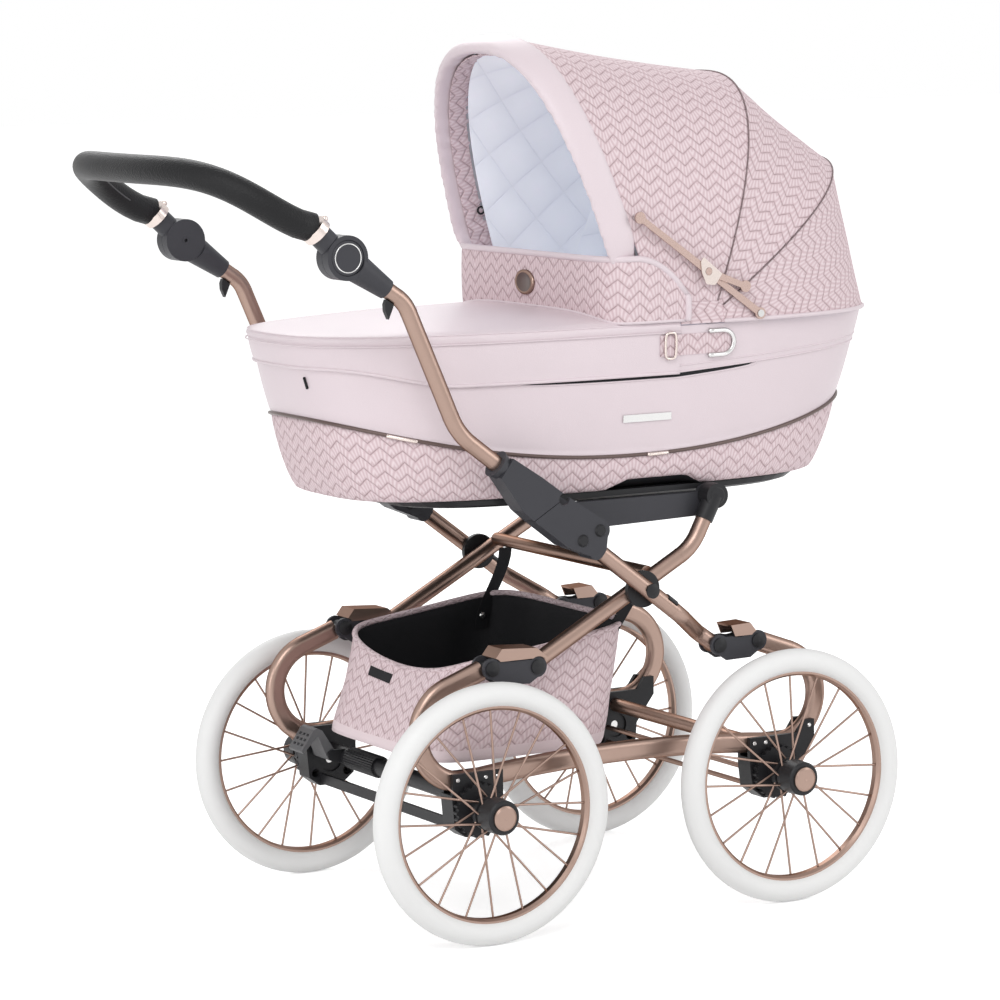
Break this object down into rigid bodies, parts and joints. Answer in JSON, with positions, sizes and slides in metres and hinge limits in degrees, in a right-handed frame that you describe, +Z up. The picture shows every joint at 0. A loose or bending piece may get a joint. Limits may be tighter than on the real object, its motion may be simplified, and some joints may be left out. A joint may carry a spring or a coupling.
{
  "type": "bassinet pram",
  "caption": "Bassinet pram with a padded cot, folding hood and apron on a folding cross frame with sprung C rails, spoked wheels and a U push handle.",
  "frame": {"origin": "centre of the footprint on the ground", "axes": "+X to the hood end, +Y to the left side, +Z up"},
  "size_m": [1.1286, 0.6054, 1.1819],
  "materials": {
    "bronze_metal": "glossy metallic",
    "charcoal_plastic": "satin",
    "black_plastic": "satin",
    "steel": "satin",
    "rose_metal": "glossy",
    "tyre_rubber": "matte",
    "grip_leather": "grained satin",
    "pink_leatherette": "smooth satin",
    "knit_fabric": "embossed",
    "dark_fabric": "woven",
    "white_fabric": "quilted"
  },
  "bodies": {
    "chassis": {"spring_rails": "bronze_metal", "rail_fittings": "black_plastic", "rear_brackets": "charcoal_plastic", "rear_saddles": "bronze_metal", "wheel_carriers": "black_plastic", "axle_stubs": "steel", "front_axle": "bronze_metal", "rear_axle": "black_plastic", "basket": "knit_fabric", "basket_rim": "dark_fabric", "basket_board": "black_plastic"},
    "wheel_rear_left": {"tyre_rl": "tyre_rubber", "rim_rl": "bronze_metal", "hub_rl": "black_plastic"},
    "wheel_rear_right": {"tyre_rr": "tyre_rubber", "rim_rr": "bronze_metal", "hub_rr": "black_plastic"},
    "wheel_front_left": {"tyre_fl": "tyre_rubber", "rim_fl": "bronze_metal", "hub_fl": "black_plastic"},
    "wheel_front_right": {"tyre_fr": "tyre_rubber", "rim_fr": "bronze_metal", "hub_fr": "black_plastic"},
    "brake": {"brake_pedal": "charcoal_plastic"},
    "leg_frame": {"leg_tubes": "bronze_metal", "pivot_discs": "black_plastic", "leg_knuckles": "black_plastic"},
    "push_frame": {"arm_tubes": "bronze_metal", "hinge_housings": "charcoal_plastic", "arm_fittings": "black_plastic"},
    "front_link": {"front_links": "charcoal_plastic", "front_saddles": "bronze_metal", "link_bolts": "black_plastic"},
    "push_handle": {"push_tubes": "bronze_metal", "joint_sockets": "charcoal_plastic"},
    "lock": {"lock_sleeves": "charcoal_plastic"},
    "trigger": {"triggers": "black_plastic"},
    "handle_bar": {"handle_grip": "grip_leather", "joint_hubs": "charcoal_plastic", "grip_collars": "rose_metal"},
    "button_left": {"left_button": "charcoal_plastic"},
    "button_right": {"right_button": "charcoal_plastic"},
    "carrier": {"carrier_beams": "charcoal_plastic"},
    "cot": {"cot_shell": "pink_leatherette", "cot_tray": "black_plastic", "mattress": "white_fabric", "apron": "pink_leatherette", "flap": "knit_fabric", "strap_buckles": "steel", "cot_studs": "steel"},
    "hood_rear": {"rear_bow": "steel", "rear_panel": "knit_fabric"},
    "hood_mid": {"mid_bow": "steel", "mid_panel": "knit_fabric"},
    "hood_front": {"front_bow": "steel", "hood_rim": "pink_leatherette", "front_panel": "knit_fabric"},
    "iron_low": {"lower_irons": "bronze_metal"},
    "iron_up": {"upper_irons": "bronze_metal"}
  },
  "joints": [
    {"name": "spin_rear_left", "type": "hinge", "parent": "chassis", "child": "wheel_rear_left", "pos_m": [-0.15757, 0.265, 0.175], "axis": [0, 1, 0], "continuous": true},
    {"name": "spin_rear_right", "type": "hinge", "parent": "chassis", "child": "wheel_rear_right", "pos_m": [-0.15757, -0.265, 0.175], "axis": [0, 1, 0], "continuous": true},
    {"name": "spin_front_left", "type": "hinge", "parent": "chassis", "child": "wheel_front_left", "pos_m": [0.31243, 0.265, 0.175], "axis": [0, 1, 0], "continuous": true},
    {"name": "spin_front_right", "type": "hinge", "parent": "chassis", "child": "wheel_front_right", "pos_m": [0.31243, -0.265, 0.175], "axis": [0, 1, 0], "continuous": true},
    {"name": "brake_press", "type": "hinge", "parent": "chassis", "child": "brake", "pos_m": [-0.18157, 0.164, 0.191], "axis": [0, 1, 0], "range_deg": [-25, 0]},
    {"name": "frame_fold", "type": "hinge", "parent": "chassis", "child": "leg_frame", "pos_m": [-0.06258, 0, 0.356], "axis": [0, 1, 0], "range_deg": [0, 24], "deforming": ["basket_rim"]},
    {"name": "arm_cross", "type": "hinge", "parent": "leg_frame", "child": "push_frame", "pos_m": [0.10243, 0, 0.446], "axis": [0, 1, 0], "range_deg": [-33.3, 0]},
    {"name": "link_swing", "type": "hinge", "parent": "chassis", "child": "front_link", "pos_m": [0.28658, 0, 0.35931], "axis": [0, 1, 0], "range_deg": [-63.02, 0]},
    {"name": "carrier_level", "type": "hinge", "parent": "leg_frame", "child": "carrier", "pos_m": [0.22642, 0, 0.562], "axis": [0, 1, 0], "range_deg": [-24.1, 0]},
    {"name": "cot_lift", "type": "slide", "parent": "carrier", "child": "cot", "axis": [0, 0, 1], "range_m": [0, 0.3]},
    {"name": "handle_fold", "type": "hinge", "parent": "push_frame", "child": "push_handle", "pos_m": [0.01824, 0, 0.53505], "axis": [0, 1, 0], "range_deg": [0, 150]},
    {"name": "handle_tilt", "type": "hinge", "parent": "push_handle", "child": "handle_bar", "pos_m": [-0.34958, 0, 0.912], "axis": [0, 1, 0], "range_deg": [-60, 30]},
    {"name": "button_left_press", "type": "slide", "parent": "push_handle", "child": "button_left", "axis": [0, -1, 0], "range_m": [0, 0.003], "stiffness_N_per_m": 400, "springref_m": -0.001},
    {"name": "button_right_press", "type": "slide", "parent": "push_handle", "child": "button_right", "axis": [0, 1, 0], "range_m": [0, 0.003], "stiffness_N_per_m": 400, "springref_m": -0.001},
    {"name": "trigger_pull", "type": "slide", "parent": "push_handle", "child": "trigger", "axis": [-0.8205, 0, 0.5716], "range_m": [0, 0.006], "stiffness_N_per_m": 1500, "springref_m": -0.006},
    {"name": "lock_slide", "type": "slide", "parent": "push_handle", "child": "lock", "axis": [-0.7934, 0, 0.6088], "range_m": [0, 0.0101]},
    {"name": "hood_fold", "type": "hinge", "parent": "cot", "child": "hood_rear", "pos_m": [0.22742, 0, 0.81], "axis": [0, 1, 0], "range_deg": [0, 25], "deforming": ["front_panel", "mid_panel", "rear_panel"]},
    {"name": "hood_mid_fold", "type": "hinge", "parent": "hood_rear", "child": "hood_mid", "pos_m": [0.22742, 0, 0.81], "axis": [0, 1, 0], "range_deg": [0, 28.1]},
    {"name": "hood_front_fold", "type": "hinge", "parent": "hood_mid", "child": "hood_front", "pos_m": [0.22742, 0, 0.81], "axis": [0, 1, 0], "range_deg": [0, 40.1]},
    {"name": "iron_low_turn", "type": "hinge", "parent": "cot", "child": "iron_low", "pos_m": [0.29942, 0, 0.806], "axis": [0, 1, 0], "range_deg": [0, 20.3]},
    {"name": "iron_up_turn", "type": "hinge", "parent": "iron_low", "child": "iron_up", "pos_m": [0.21343, 0, 0.867], "axis": [0, 1, 0], "range_deg": [0, 111.2]}
  ],
  "couplings": [
    {"joint": "arm_cross", "follows": "frame_fold", "ratio": -1.3794},
    {"joint": "link_swing", "follows": "frame_fold", "ratio": -2.609},
    {"joint": "carrier_level", "follows": "frame_fold", "ratio": -1},
    {"joint": "lock_slide", "follows": "trigger_pull", "ratio": 1.6667},
    {"joint": "hood_mid_fold", "follows": "hood_fold", "ratio": 1.12},
    {"joint": "hood_front_fold", "follows": "hood_fold", "ratio": 1.6},
    {"joint": "iron_low_turn", "follows": "hood_fold", "ratio": 0.804},
    {"joint": "iron_up_turn", "follows": "hood_fold", "ratio": 4.44}
  ]
}
